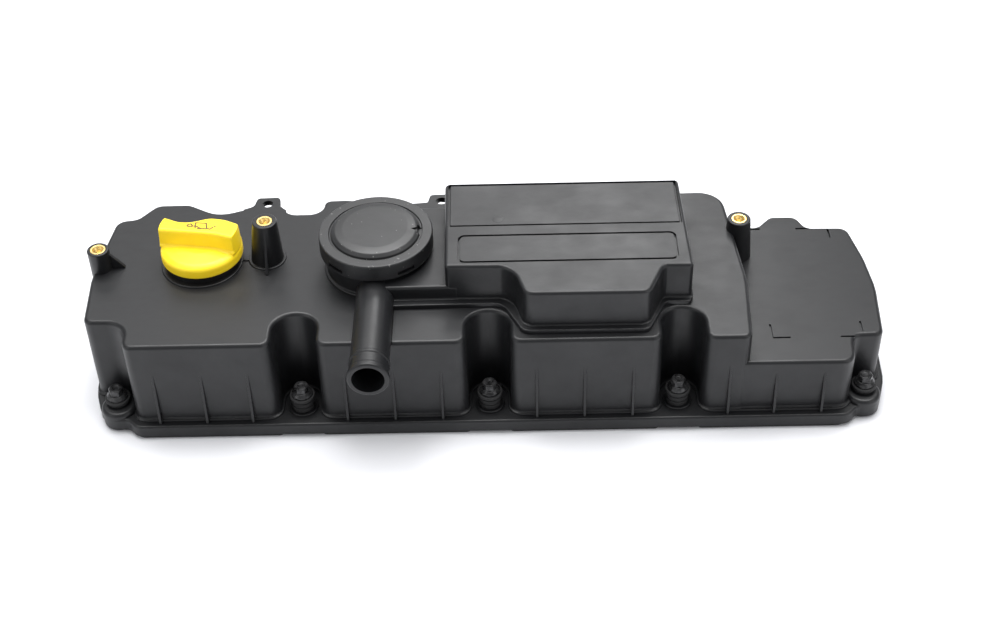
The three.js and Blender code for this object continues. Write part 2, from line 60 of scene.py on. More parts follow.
# ---- shared dimensions in millimetres ----------------------------------------------------------
# The origin lies on the sealing plane, midway along the cover and near the front wall's foot.
BOLT_PITCH = 98.5
FRONT_ROW_Y = 8.5
REAR_ROW_Y = 115.0
INNER_FRONT_Y = 4.6  # where the three inner bolts of the front row stand
REAR_SHIFT = -3.0  # along X, for the three inner bolts of the rear row
HEX_R = 4.04  # 7 mm across flats
UNDER_HEAD = 3.6  # underside of a bolt head above its seat
TALL_GROMMET = 5.2  # added to that height by the tall grommets of the inner front bolts
BOLT_HOLE_R = 5.6
INNER_BOSS_R, CORNER_BOSS_R = 7.7, 9.4
CORNER_BOSS_OUT = 2.2  # a corner boss stands this far outside its bolt
FRONT = -3.0  # front wall
WALL = 3.0  # thickness
BOX_WALL = 2.4
DRAFT = 0.6  # the walls spread by this much toward their foot
STEP = 2.0  # the step runs round the walls this far outside them
FLANGE_UNDER = 1.0
FLANGE_TOP = 8.4
STEP_TOP = 9.4
CORNER_SEAT = 11.4
LOW_TOP = 41.0
TOP = 59.5
LEDGE_TOP = 62.0
BOX_TOP = 83.5
LABEL_SINK, LABEL_TOP = 82.2, 83.4  # floor of the label's recess and top of the label
LUG_UNDER = 2.8  # below the top
LUG_HOLE_R = 3.0
REG_X, REG_Y = -58.4, 60.0
HOUSING_R = 27.0
HOUSING_TOP = 79.0
CHAMBER_FLOOR = 54.0
PAD_Z, PAD_R, PAD_HALF = 47.5, 30.5, 13.5  # thick part of the cover under the housing and the stub
BOSS_PAD_R = 7.5  # and under the threaded bosses
SEAL_BAND = 6.2  # the hollow starts this far inside the outline of the seal
STUB_R, STUB_BORE, STUB_Z, STUB_END = 9.9, 8.2, 62.0, -32.2
NECK_X, NECK_Y = -152.5, 65.6
NECK_BORE, NECK_R, NECK_TOP = 16.6, 19.6, 63.5
THREAD_LEAD = 30.0
CAP_R = 21.7
CAP_UNDER = 64.5
HANDLE_TOP = 82.5
INSERT_R = 4.2
ARC = math.radians(11)  # facet angle of rounded corners
MM = 0.001

# the frame's origin is the middle of the footprint: the middle insert says how far that is
_low, _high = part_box("insert_middle")
SHIFT_X = (_low.x + _high.x) / 2 / MM + 117.2
SHIFT_Y = (_low.y + _high.y) / 2 / MM - 66.5


# ---- solids in mesh code -----------------------------------------------------------------------
def rounded(corners, grow=0.0, arc=ARC):
    """Points of an outline given by anticlockwise corners (x, y, radius), moved outward by grow."""
    n = len(corners)
    edges = []
    for i, (x, y, _) in enumerate(corners):
        u, v, _ = corners[(i + 1) % n]
        length = math.hypot(u - x, v - y)
        dx, dy = (u - x) / length, (v - y) / length
        edges.append((dx, dy, x + dy * grow, y - dx * grow))
    points = []
    for i, (_, _, radius) in enumerate(corners):
        ax, ay, apx, apy = edges[i - 1]
        bx, by, bpx, bpy_ = edges[i]
        cross = ax * by - ay * bx
        along = ((bpx - apx) * by - (bpy_ - apy) * bx) / cross
        x, y = apx + ax * along, apy + ay * along
        side = 1 if cross > 0 else -1
        if radius == 0:
            points.append((x, y))
            continue
        r = max(0.15, radius + side * grow)
        turn = math.asin(min(1, abs(cross)))
        angle = math.pi - turn if ax * bx + ay * by < 0 else turn
        reach = r * math.tan(angle / 2)
        cx, cy = x - ax * reach - ay * r * side, y - ay * reach + ax * r * side
        start = math.atan2(-ax * side, ay * side)
        steps = max(1, round(angle / arc))
        for k in range(steps + 1):
            t = start + side * angle * k / steps
            points.append((cx + r * math.cos(t), cy + r * math.sin(t)))
    return points


def mesh_object(bm, name="tmp"):
    bmesh.ops.recalc_face_normals(bm, faces=bm.faces)
    mesh = bpy.data.meshes.new(name)
    bm.to_mesh(mesh)
    bm.free()
    ob = bpy.data.objects.new(name, mesh)
    scene.collection.objects.link(ob)
    return ob


def loft(rings):
    """Closed solid through rings of the same number of points, capped at both ends."""
    bm = bmesh.new()
    rows = [[bm.verts.new(p) for p in ring] for ring in rings]
    n = len(rows[0])
    for low, high in zip(rows, rows[1:]):
        for i in range(n):
            bm.faces.new((low[i], low[(i + 1) % n], high[(i + 1) % n], high[i]))
    bm.faces.new(reversed(rows[0]))
    bm.faces.new(rows[-1])
    return mesh_object(bm)


def rim(z, r, grow=0.0, steps=6):
    """Levels (grow, height) of a rounded top edge."""
    turns = [math.pi / 2 * k / steps for k in range(steps + 1)]
    return [(grow - r * (1 - math.cos(t)), z - r * (1 - math.sin(t))) for t in turns]


def foot(z, r, grow=0.0, steps=5):
    """Levels of a hollow fillet where a wall stands on a face, starting a little below it."""
    turns = [math.pi / 2 * k / steps for k in range(steps + 1)]
    levels = [(grow + r - r * math.sin(t), z + r * (1 - math.cos(t))) for t in turns]
    return [(grow + r, z - 1.2)] + levels


def prism(corners, levels):
    return loft([[(x, y, z) for x, y in rounded(corners, grow)] for grow, z in levels])


def block(x0, x1, y0, y1, z0, z1, bevel=0.0):
    bm = bmesh.new()
    bmesh.ops.create_cube(bm, size=1.0)
    for v in bm.verts:
        v.co = Vector((
            x0 if v.co.x < 0 else x1,
            y0 if v.co.y < 0 else y1,
            z0 if v.co.z < 0 else z1,
        ))
    if bevel:
        bmesh.ops.bevel(bm, geom=bm.edges[:], offset=bevel, segments=3, profile=0.5, affect="EDGES")
    return mesh_object(bm)


def lathe(x, y, profile, sides=96, arc=math.radians(15)):
    """Solid of revolution about an upright axis.

    The profile is a list of (radius, height, corner radius), running anticlockwise.
    """
    points = rounded(profile, 0.0, arc)
    on_axis = profile[0][0] == 0
    bm = bmesh.new()
    rows = []
    for r, z in points:
        if r < 1e-6:
            rows.append([bm.verts.new((x, y, z))])
        else:
            turns = [2 * math.pi * k / sides for k in range(sides)]
            ring = [(x + r * math.cos(t), y + r * math.sin(t), z) for t in turns]
            rows.append([bm.verts.new(p) for p in ring])
    pairs = list(zip(rows, rows[1:]))
    if not on_axis:
        pairs.append((rows[-1], rows[0]))
    for a, b in pairs:
        for k in range(sides):
            m = (k + 1) % sides
            if len(a) == 1 and len(b) > 1:
                bm.faces.new((a[0], b[m], b[k]))
            elif len(b) == 1 and len(a) > 1:
                bm.faces.new((a[k], a[m], b[0]))
            elif len(a) > 1:
                bm.faces.new((a[k], a[m], b[m], b[k]))
    return mesh_object(bm)


def drum(x, y, z0, z1, r0, r1=None, top=0.0, sides=64, lean=0.0):
    """Upright cylinder or cone with a rounded top edge; lean moves its foot along X."""
    r1 = r0 if r1 is None else r1
    ob = lathe(x, y, [(0, z0, 0), (r0, z0, 0), (r1, z1, top), (0, z1, 0)], sides)
    for v in ob.data.vertices:
        v.co.x += lean * (z1 - v.co.z) / (z1 - z0)
    return ob


def rod(x, z, y0, y1, r, sides=64):
    """Cylinder along Y."""
    ob = lathe(0, 0, [(0, y0, 0), (r, y0, 0), (r, y1, 0), (0, y1, 0)], sides)
    return lay_down(ob, x, z)


def lay_down(ob, x, z):
    for v in ob.data.vertices:
        a, b, c = v.co
        v.co = (x + a, c, z + b)
    ob.data.flip_normals()
    return ob


def plate(points, thick, bevel=0.0):
    """Upright plate in the XZ plane, centred on Y = 0, with softened edges."""
    bm = bmesh.new()
    low = [bm.verts.new((u, -thick / 2, v)) for u, v in points]
    high = [bm.verts.new((u, thick / 2, v)) for u, v in points]
    n = len(points)
    bm.faces.new(low)
    bm.faces.new(reversed(high))
    for i in range(n):
        bm.faces.new((low[i], high[i], high[(i + 1) % n], low[(i + 1) % n]))
    if bevel:
        bmesh.ops.bevel(bm, geom=bm.edges[:], offset=bevel, segments=2, profile=0.5, affect="EDGES")
    return mesh_object(bm)


def moved(ob, matrix):
    ob.data.transform(matrix)
    return ob


def fin(x, y, points, thick, bevel=0.3):
    return moved(plate(points, thick, bevel), Matrix.Translation((x, y, 0)))


def wedge(x, y, points, thick, bevel=0.3):
    """The same plate turned to reach toward -Y."""
    turn = Matrix.Rotation(-math.pi / 2, 4, "Z")
    return moved(plate(points, thick, bevel), Matrix.Translation((x, y, 0)) @ turn)


def ridge(r0, r1, z, height, start, sweep, steps=24):
    """Thread ridge round the filler neck."""
    rings = []
    for k in range(steps + 1):
        a = start + sweep * k / steps
        rise = THREAD_LEAD * sweep * k / steps / (2 * math.pi)
        taper = min(1, k / 3, (steps - k) / 3)
        ring = []
        tip = 0.25 * taper + 0.02
        for r, h in ((r0, -0.5), (r1, -tip), (r1, tip), (r0, 0.5)):
            level = z + rise + height * h
            ring.append((NECK_X + r * math.cos(a), NECK_Y + r * math.sin(a), level))
        rings.append(ring)
    return loft(rings)


def combine(base, steps, name):
    """Adds ('+'), takes away ('-') or keeps the common part ('&') of solids, in order."""
    kinds = {"+": "UNION", "-": "DIFFERENCE", "&": "INTERSECT"}
    for sign, ob in steps:
        m = base.modifiers.new("b", "BOOLEAN")
        m.solver = "MANIFOLD"
        m.operation = kinds[sign]
        m.object = ob
    graph = bpy.context.evaluated_depsgraph_get()
    mesh = bpy.data.meshes.new_from_object(base.evaluated_get(graph))
    for ob in [base] + [ob for _, ob in steps]:
        bpy.data.objects.remove(ob)
    made = bpy.data.objects.new(name, mesh)
    scene.collection.objects.link(made)
    return made


# ---- materials ---------------------------------------------------------------------------------
class Nodes:
    """A material and short calls to build its nodes."""

    def __init__(self, name):
        self.mat = bpy.data.materials.new(name)
        self.mat.use_nodes = True
        self.tree = self.mat.node_tree
        self.bsdf = self.tree.nodes["Principled BSDF"]
        self.place = self.tree.nodes.new("ShaderNodeTexCoord").outputs["Object"]

    def node(self, kind, **values):
        n = self.tree.nodes.new(kind)
        for key, value in values.items():
            if hasattr(n, key):
                setattr(n, key, value)
            else:
                n.inputs[key.replace("_", " ")].default_value = value
        return n

    def link(self, a, b):
        self.tree.links.new(a, b)

    def noise(self, scale, detail=4.0, stretch=(1, 1, 1), rough=0.55):
        mapping = self.node("ShaderNodeMapping")
        mapping.inputs["Scale"].default_value = stretch
        self.link(self.place, mapping.inputs["Vector"])
        n = self.node("ShaderNodeTexNoise", Scale=scale, Detail=detail, Roughness=rough)
        self.link(mapping.outputs["Vector"], n.inputs["Vector"])
        return n.outputs["Fac"]

    def ramp(self, value, low, high, out_low, out_high):
        n = self.node("ShaderNodeMapRange")
        numbers = {"From Min": low, "From Max": high, "To Min": out_low, "To Max": out_high}
        for key, number in numbers.items():
            n.inputs[key].default_value = number
        self.link(value, n.inputs["Value"])
        return n.outputs["Result"]

    def mix(self, share, a, b):
        n = self.node("ShaderNodeMix", data_type="RGBA")
        factor, first, second = n.inputs[0], n.inputs[6], n.inputs[7]
        for socket, value in ((factor, share), (first, a), (second, b)):
            if hasattr(value, "links"):
                self.link(value, socket)
            else:
                socket.default_value = value if isinstance(value, (int, float)) else (*value, 1)
        return n.outputs[2]

    def math(self, kind, a, b):
        n = self.node("ShaderNodeMath", operation=kind)
        for socket, value in ((n.inputs[0], a), (n.inputs[1], b)):
            if hasattr(value, "links"):
                self.link(value, socket)
            else:
                socket.default_value = value
        return n.outputs[0]

    def bump(self, height, strength, distance, below=None):
        n = self.node("ShaderNodeBump", Strength=strength, Distance=distance)
        self.link(height, n.inputs["Height"])
        if below is not None:
            self.link(below, n.inputs["Normal"])
        return n.outputs["Normal"]


def black_plastic(name, dark, pale, rough, gloss, dust):
    """Glass-filled moulded plastic: fine grain, soft mottling, rubbed patches and dust specks."""
    m = Nodes(name)
    cloud = m.noise(34, 5)
    rubbed = m.noise(90, 4, (1, 1.7, 1))
    grain = m.noise(2600, 2)
    both = m.math("ADD", m.math("MULTIPLY", cloud, 0.55), m.math("MULTIPLY", rubbed, 0.45))
    tint = m.mix(m.ramp(both, 0.38, 0.64, 0, 1), dark, pale)
    specks = m.ramp(m.noise(800, 0), 0.79, 0.84, 0, dust)
    m.link(m.mix(specks, tint, (0.22, 0.22, 0.21)), m.bsdf.inputs["Base Color"])
    m.link(m.ramp(both, 0.35, 0.65, rough[1], rough[0]), m.bsdf.inputs["Roughness"])
    coarse = m.bump(m.noise(420, 3), 0.1, 0.0002)
    m.link(m.bump(grain, 0.25, 0.00005, coarse), m.bsdf.inputs["Normal"])
    m.bsdf.inputs["Specular IOR Level"].default_value = gloss
    return m.mat


def rubber(name):
    m = Nodes(name)
    cloud = m.noise(120, 4)
    m.link(m.mix(m.ramp(cloud, 0.35, 0.65, 0, 1), (0.008, 0.008, 0.0085), (0.016, 0.016, 0.0165)),
           m.bsdf.inputs["Base Color"])
    m.link(m.ramp(cloud, 0.3, 0.7, 0.62, 0.78), m.bsdf.inputs["Roughness"])
    m.link(m.bump(m.noise(1800, 2), 0.3, 0.00006), m.bsdf.inputs["Normal"])
    return m.mat


def coated_steel(name):
    m = Nodes(name)
    cloud = m.noise(300, 4)
    m.link(m.mix(m.ramp(cloud, 0.4, 0.65, 0, 1), (0.022, 0.022, 0.023), (0.07, 0.07, 0.072)),
           m.bsdf.inputs["Base Color"])
    m.link(m.ramp(cloud, 0.35, 0.65, 0.22, 0.36), m.bsdf.inputs["Roughness"])
    m.link(m.bump(m.noise(1500, 3), 0.2, 0.00005), m.bsdf.inputs["Normal"])
    m.bsdf.inputs["Metallic"].default_value = 0.5
    return m.mat


def bright_steel(name):
    m = Nodes(name)
    streak = m.noise(400, 3, (1, 1, 8))
    m.link(m.mix(streak, (0.42, 0.42, 0.43), (0.62, 0.62, 0.63)), m.bsdf.inputs["Base Color"])
    m.link(m.ramp(streak, 0.3, 0.7, 0.22, 0.4), m.bsdf.inputs["Roughness"])
    m.link(m.bump(streak, 0.15, 0.00004), m.bsdf.inputs["Normal"])
    m.bsdf.inputs["Metallic"].default_value = 1.0
    return m.mat


def brass(name):
    m = Nodes(name)
    cloud = m.noise(500, 4)
    m.link(m.mix(cloud, (0.82, 0.58, 0.20), (0.98, 0.80, 0.38)), m.bsdf.inputs["Base Color"])
    m.link(m.ramp(cloud, 0.3, 0.7, 0.22, 0.38), m.bsdf.inputs["Roughness"])
    m.link(m.bump(m.noise(2200, 3), 0.25, 0.00005), m.bsdf.inputs["Normal"])
    m.bsdf.inputs["Metallic"].default_value = 0.9
    return m.mat


def yellow_plastic(name):
    m = Nodes(name)
    cloud = m.noise(45, 4)
    scuff = m.noise(160, 5, (1, 4, 1))
    base = m.mix(m.ramp(cloud, 0.35, 0.65, 0, 1), (0.90, 0.66, 0.012), (0.94, 0.73, 0.018))
    rubbed = m.mix(m.ramp(scuff, 0.62, 0.8, 0, 0.35), base, (0.96, 0.76, 0.12))
    m.link(rubbed, m.bsdf.inputs["Base Color"])
    m.link(m.ramp(scuff, 0.3, 0.7, 0.34, 0.48), m.bsdf.inputs["Roughness"])
    m.link(m.bump(m.noise(1500, 2), 0.12, 0.00004), m.bsdf.inputs["Normal"])
    m.bsdf.inputs["Subsurface Weight"].default_value = 0.06
    m.bsdf.inputs["Subsurface Radius"].default_value = (0.003, 0.0015, 0.0003)
    m.bsdf.inputs["Subsurface Scale"].default_value = 0.5
    # painted glow: a faint orange-yellow emission brightens the cap as if it caught more light; the
    # cap is no lamp
    m.bsdf.inputs["Emission Color"].default_value = (1, 0.62, 0.02, 1)
    m.bsdf.inputs["Emission Strength"].default_value = 0.16
    return m.mat


def sign_paint(name):
    """Dark lines pressed into the cap, worn through in places."""
    m = Nodes(name)
    worn = m.ramp(m.noise(900, 4), 0.45, 0.7, 0, 1)
    m.link(m.mix(worn, (0.10, 0.045, 0.012), (0.28, 0.15, 0.02)), m.bsdf.inputs["Base Color"])
    m.bsdf.inputs["Roughness"].default_value = 0.55
    return m.mat


PLASTIC = black_plastic(
    "cover_black_plastic",
    dark=(0.0075, 0.0078, 0.0088), pale=(0.0125, 0.0129, 0.0142),
    rough=(0.33, 0.45), gloss=0.42, dust=0.0)
CAP_PLASTIC = black_plastic(
    "regulator_black_plastic",
    dark=(0.0075, 0.0077, 0.0085), pale=(0.012, 0.0123, 0.0134),
    rough=(0.38, 0.5), gloss=0.6, dust=0.6)
RUBBER = rubber("seal_rubber")
BOLT_STEEL = coated_steel("bolt_black_steel")
BRIGHT = bright_steel("bright_steel")
BRASS = brass("insert_brass")
YELLOW = yellow_plastic("cap_yellow_plastic")
SIGN_PAINT = sign_paint("cap_sign_brown")


def finish_piece(ob, body, material, nodes, sharp=38, weighted=True):
    """Puts a piece made in millimetres into the frame, shades it, hangs it under its body and hides
    the CAD parts it stands for.
    """
    low, high = CAD_BOX
    for v in ob.data.vertices:
        p = ((v.co.x + SHIFT_X) * MM, (v.co.y + SHIFT_Y) * MM, v.co.z * MM)
        v.co = [min(max(c, a), b) for c, a, b in zip(p, low, high)]
    mesh = ob.data
    mesh.materials.clear()
    mesh.materials.append(material)
    mesh.set_sharp_from_angle(angle=math.radians(sharp))
    mesh.polygons.foreach_set("use_smooth", [True] * len(mesh.polygons))
    if weighted:
        m = ob.modifiers.new("flat_faces", "WEIGHTED_NORMAL")
        m.keep_sharp = True
        m.weight = 80
    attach(ob, body)
    if nodes:
        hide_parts(*nodes)
    return ob


# ---- outlines ----------------------------------------------------------------------------------
def channel(x, half, mouth, back, lip, deep):
    """Corners of a channel cut into a wall round a bolt."""
    s = 1 if back > mouth else -1
    return [(x - s * half, mouth, lip), (x - s * half, back, deep),
            (x + s * half, back, deep), (x + s * half, mouth, lip)]


MAIN_WALL = [
    (-185.6, FRONT, 5), *channel(-99, 11.5, FRONT, 20.6, 5.5, 11.2),
    *channel(0, 11.5, FRONT, 20.6, 5.5, 11.2), *channel(99.6, 11.2, FRONT, 20.6, 5.5, 10.9),
    (133.4, FRONT, 4.5), (136.4, 42, 60), (130.4, 118.8, 14),
    *channel(BOLT_PITCH + REAR_SHIFT, 10, 118.6, 105, 3, 9),
    *channel(REAR_SHIFT, 10, 117, 105, 3, 8), (-42, 113.8, 12), (-80, 117.8, 8),
    (-91.8, 117.4, 4), (-91.8, 105.4, 8), (-111.2, 105.4, 8), (-116, 115, 5), (-131, 112.8, 8),
    (-150, 105.8, 16), (-167.6, 116.2, 9), (-185.8, 116, 7), (-195, 103.8, 6), (-206, 102.2, 7),
    (-211.4, 56, 60), (-208.6, 17, 5), (-186, 16.7, 11),
]
LOW_WALL = [
    (120, FRONT, 1), (187.7, FRONT, 7.5), (189.6, 16.9, 5), (205.6, 17.6, 5), (208.6, 56, 40),
    (206.6, 80, 40), (201.4, 107.2, 6), (179, 107.8, 5), (174.2, 118.2, 6), (159.6, 118.2, 5),
    (151.6, 109.2, 6), (120, 109, 1),
]
FLANGE = [
    (-185.2, -8.9, 7), (187.2, -8.9, 9), (192.2, -2.8, 4), (202.4, -2.9, 7), (206.8, 7.5, 12),
    (210, 18, 20), (212, 55, 60), (207.4, 106, 6), (187.5, 107, 3), (185.5, 124, 7),
    (-186, 124, 7), (-188, 107, 3), (-211.5, 105.9, 7), (-215, 55, 60), (-210.8, 17.4, 20),
    (-207, 6, 10), (-199.6, -3.3, 7), (-190.6, -3.4, 4),
]
SEAL_LINE = [
    (-188.2, -8.4, 7), *channel(-BOLT_PITCH, 9.8, -8.4, 18.2, 3, 9.4),
    *channel(0, 9.8, -8.4, 18.2, 3, 9.4), *channel(BOLT_PITCH, 9.8, -8.4, 18.2, 3, 9.4),
    (189, -8.4, 8), (187.8, 18.6, 9), (208.8, 18.6, 6), (211.2, 55, 60), (206.6, 103.8, 6),
    (186.8, 104.2, 9), (186.8, 123.4, 6),
    *channel(BOLT_PITCH + REAR_SHIFT, 9.8, 123.4, 105.3, 3, 9.4),
    *channel(REAR_SHIFT, 9.8, 123.4, 105.3, 3, 9.4),
    *channel(-BOLT_PITCH + REAR_SHIFT, 9.8, 123.4, 105.3, 3, 9.4), (-187.2, 123.4, 6.5),
    (-187.2, 104.2, 9), (-211, 103.8, 6), (-214.4, 55, 60), (-210.6, 18.8, 6), (-187.6, 18.6, 9),
]
LEDGE = [
    (-56, 22.6, 2), (7.5, 23.2, 8), (17.8, 1.8, 6), (81.8, 1.5, 5), (91.6, 22.4, 4),
    (105, 22.3, 2), (104.6, 98.4, 2), (-56, 98.4, 2),
]
BOX = [
    (-21.4, 27.8, 2), (105.2, 25.6, 2), (103.6, 98.4, 2.5), (-22.6, 98.4, 3),
]
BUMP = [
    (-6, 28, 0.6), (12.8, 27.6, 13), (19, 5.5, 6.5), (81.4, 5.3, 6.5), (90.4, 26.4, 6),
    (98, 26.3, 0.6), (98, 40, 1), (-6, 40, 1),
]
PLATEAU = [(-56, 27.5, 1.5), (-15, 27.5, 1.5), (-15, 95, 1.5), (-56, 95, 1.5)]
LABEL = [(-19.2, 61.4, 0.8), (101.2, 61.4, 0.8), (100.8, 95.8, 0.8), (-19.6, 95.8, 0.8)]
LABEL_SEAT = [(-20.4, 60.2, 1), (102.4, 60.2, 1), (102, 97.1, 1), (-20.8, 97.1, 1)]
PANEL = [(-14.3, 31, 3), (97.6, 31, 3), (97.6, 52.4, 3), (-14.3, 52.4, 3)]

BOLTS = []
for row, row_y in (("front", FRONT_ROW_Y), ("rear", REAR_ROW_Y)):
    for i in range(5):
        corner = i in (0, 4)
        x = (i - 2) * BOLT_PITCH + (REAR_SHIFT if row == "rear" and not corner else 0)
        tall = row == "front" and not corner
        y = INNER_FRONT_Y if tall else row_y
        seat = CORNER_SEAT if corner else STEP_TOP
        BOLTS.append((f"{row}_{i + 1}", x, y, corner, seat, tall))

# tag, x, y, foot, top, radius at the foot and at the top, insert depth, lean of the foot along X
BOSSES = [
    ("left", -206.7, 61.4, 30, 72, 6.2, 5.8, 14, 0),
    ("middle", -117.2, 66.5, 57, 85, 9, 6.5, 16, -1.2),
    ("right", 136.5, 85, 39, 66, 8.2, 6.2, 14, 0),
]


# ---- cover -------------------------------------------------------------------------------------
def cover():
    steps = []

    def add(ob):
        steps.append(("+", ob))

    def cut(ob):
        steps.append(("-", ob))

    base = prism(FLANGE, [(-0.6, FLANGE_UNDER), (0, FLANGE_UNDER + 0.6)] + rim(FLANGE_TOP, 1.3))
    for wall, top, draft in ((MAIN_WALL, TOP, DRAFT), (LOW_WALL, LOW_TOP, 0)):
        add(prism(wall, [(STEP, 3)] + rim(STEP_TOP, 0.6, STEP, 4)))
        add(prism(wall, foot(STEP_TOP, 1.0, draft) + rim(top, 2.2)))
    add(block(118, 131, FRONT + 1.7, 100, 20, LOW_TOP - 2))
    for _, x, y, corner, seat, _ in BOLTS:
        if corner:
            boss_y = y + (-CORNER_BOSS_OUT if y == FRONT_ROW_Y else CORNER_BOSS_OUT)
            add(drum(x * 0.997, boss_y, FLANGE_UNDER, seat, CORNER_BOSS_R, top=2.2))
        else:
            add(drum(x, y, FLANGE_UNDER, seat, INNER_BOSS_R, top=0.5))
    # stiffening ribs, shorter on the low end
    for x in (24.6, 49.4, 74.4, 124, 148.1, 172.8):
        for side in (-1, 1):
            top = 34 if side * x > 140 else 43
            low = STEP_TOP - 2
            add(wedge(side * x, FRONT, [(-1, low), (4, low), (0, top), (-1, top)], 1.4))
    # lugs for clips at the back edge
    for x in (-123.7, -26.4):
        lug = [
            (x - 13.4, 107, 1), (x + 11.4, 106, 1), (x + 11, 109.4, 1), (x + 7.4, 112.6, 3),
            (x + 6.6, 121, 2.2), (x - 6.2, 120.6, 2.2), (x - 7.6, 113, 4), (x - 13, 110.6, 1),
        ]
        add(prism(lug, [(-0.4, TOP - LUG_UNDER - 0.4), (0, TOP - LUG_UNDER)] + rim(TOP, 0.9)))
    for _, x, y, z0, z1, r0, r1, _, lean in BOSSES:
        add(drum(x, y, z0, z1, r0, r1, top=0.7, lean=lean))
    left, middle, right = BOSSES
    add(wedge(middle[1], middle[2] - 6,
              [(0, TOP - 1), (8.6, TOP - 1), (8.6, TOP + 0.6), (0, 76)], 1.5))
    add(drum(middle[1] + middle[8], middle[2], TOP, TOP + 0.8, 10.2, 10.1, top=0.6))
    # web between that boss and the filler neck
    add(block(-131.5, -126.5, 64.4, 66.8, TOP - 1, TOP + 0.7, 0.3))
    gusset = [(0, TOP - 1), (12.6, TOP - 1), (12.6, TOP + 1), (4, 71), (0, 71)]
    add(fin(left[1], left[2], gusset, 2))
    add(drum(REG_X, REG_Y, PAD_Z, TOP - 1, PAD_R))
    add(block(REG_X - PAD_HALF, REG_X + PAD_HALF, FRONT + 1, REG_Y, PAD_Z, TOP - 1))
    add(drum(NECK_X - 0.6, NECK_Y - 1.5, TOP, TOP + 0.9, 21.8, 21.7, top=0.6, sides=96))

    # hollow underside, leaving the thick parts
    def thick_parts():
        return [
            drum(REG_X, REG_Y, PAD_Z, TOP + 1, PAD_R),
            block(REG_X - PAD_HALF, REG_X + PAD_HALF, FRONT, REG_Y, PAD_Z, TOP + 1),
        ] + [
            drum(x, y, top - depth - 4, TOP + 1, BOSS_PAD_R)
            for _, x, y, _, top, _, _, depth, _ in (left, right, middle)
        ]

    def hollow(outline, top):
        inner = [(-WALL, 0), (-WALL, top - WALL - 3)] + rim(top - WALL, 2, -WALL)
        inside_seal = prism(SEAL_LINE, [(-SEAL_BAND, -1), (-SEAL_BAND, TOP)])
        return combine(prism(outline, inner), [("&", inside_seal)], "part")

    cut(combine(hollow(MAIN_WALL, TOP), [("-", ob) for ob in thick_parts()], "part"))
    cut(hollow(LOW_WALL, LOW_TOP))
    add(drum(NECK_X, NECK_Y, 50, NECK_TOP, NECK_R, top=0.5, sides=96))
    cut(drum(NECK_X, NECK_Y, 40, 70, NECK_BORE, sides=96))
    for turn in (0, math.pi):
        add(ridge(NECK_BORE + 1, NECK_BORE - 1, 56.7, 2, turn, 0.9))

    # seats of the regulator housing and hose stub, gas passages
    cut(drum(REG_X, REG_Y, CHAMBER_FLOOR - 2.9, TOP + 1, HOUSING_R + 0.4, sides=96))
    cut(rod(REG_X, STUB_Z, FRONT - 3, REG_Y, STUB_R + 0.4))
    cut(block(0, 30, 60, 70, 50, TOP + 1))
    cut(block(60, 90, 60, 70, 50, TOP + 1))
    cut(block(40, 50, 31, 38, 50, TOP + 1))
    for _, x, y, _, z1, _, _, depth, _ in BOSSES:
        cut(drum(x, y, z1 - depth, z1 + 1, INSERT_R + 0.1))
    for x, y in ((-123.5, 114.6), (-26, 114.4)):
        cut(drum(x, y, TOP - 5, TOP + 1, LUG_HOLE_R))
    for _, x, y, _, _, _ in BOLTS:
        cut(drum(x, y, 0, 20, BOLT_HOLE_R))
    # shallow mould lines and notches on the low end
    for x0, x1, y0, y1, deep in (
        (145.6, 152.7, 106, 107.3, 2.0), (172.7, 180.7, 105.8, 107.1, 2.0),
        (190.0, 191.1, 97.9, 105.4, 1.6), (146.9, 148, 16, 26.4, 0.9),
        (147.2, 156.9, 15.5, 16.6, 0.9), (182.8, 190.3, 15.5, 16.6, 0.9),
        (194.2, 195.3, 19.6, 27.7, 0.9),
    ):
        cut(block(x0, x1, y0, y1, LOW_TOP - deep, LOW_TOP + 1))
    return combine(base, steps, "cover_body")


finish_piece(cover(), "cover", PLASTIC, ["cover_shell"])


# ---- gasket ------------------------------------------------------------------------------------
def gasket():
    outer = prism(SEAL_LINE, [(-0.3, 0), (0, 0.25), (0, 0.8), (-0.15, FLANGE_UNDER)])
    return combine(outer, [("-", prism(SEAL_LINE, [(-5, -1), (-5, 2)]))], "gasket_strip")


finish_piece(gasket(), "cover", RUBBER, ["sealing_gasket"])


def window_turn(k):
    return (0 if k < 2 else math.pi) - 0.07 + (0.67 if k % 2 else -0.67)


def round_regulator(ob, k):
    spin = Matrix.Translation((REG_X, REG_Y, 0)) @ Matrix.Rotation(window_turn(k), 4, "Z")
    return moved(ob, spin)


# ---- oil separator with the regulator housing and the hose stub --------------------------------
def stub_outside():
    e = STUB_END
    r = STUB_R
    # the end has a bead, and a low collar stands behind it
    profile = [
        (0, e, 0), (r + 0.7, e, 1.0), (r + 0.7, e + 3.2, 0.6), (r, e + 4.2, 1.2),
        (r, e + 9.8, 0.5), (r + 0.5, e + 10.6, 0.4), (r + 0.5, e + 11.9, 0.4),
        (r, e + 12.7, 0.5), (r, REG_Y, 0), (0, REG_Y, 0),
    ]
    return lay_down(lathe(0, 0, profile, 72), REG_X, STUB_Z)


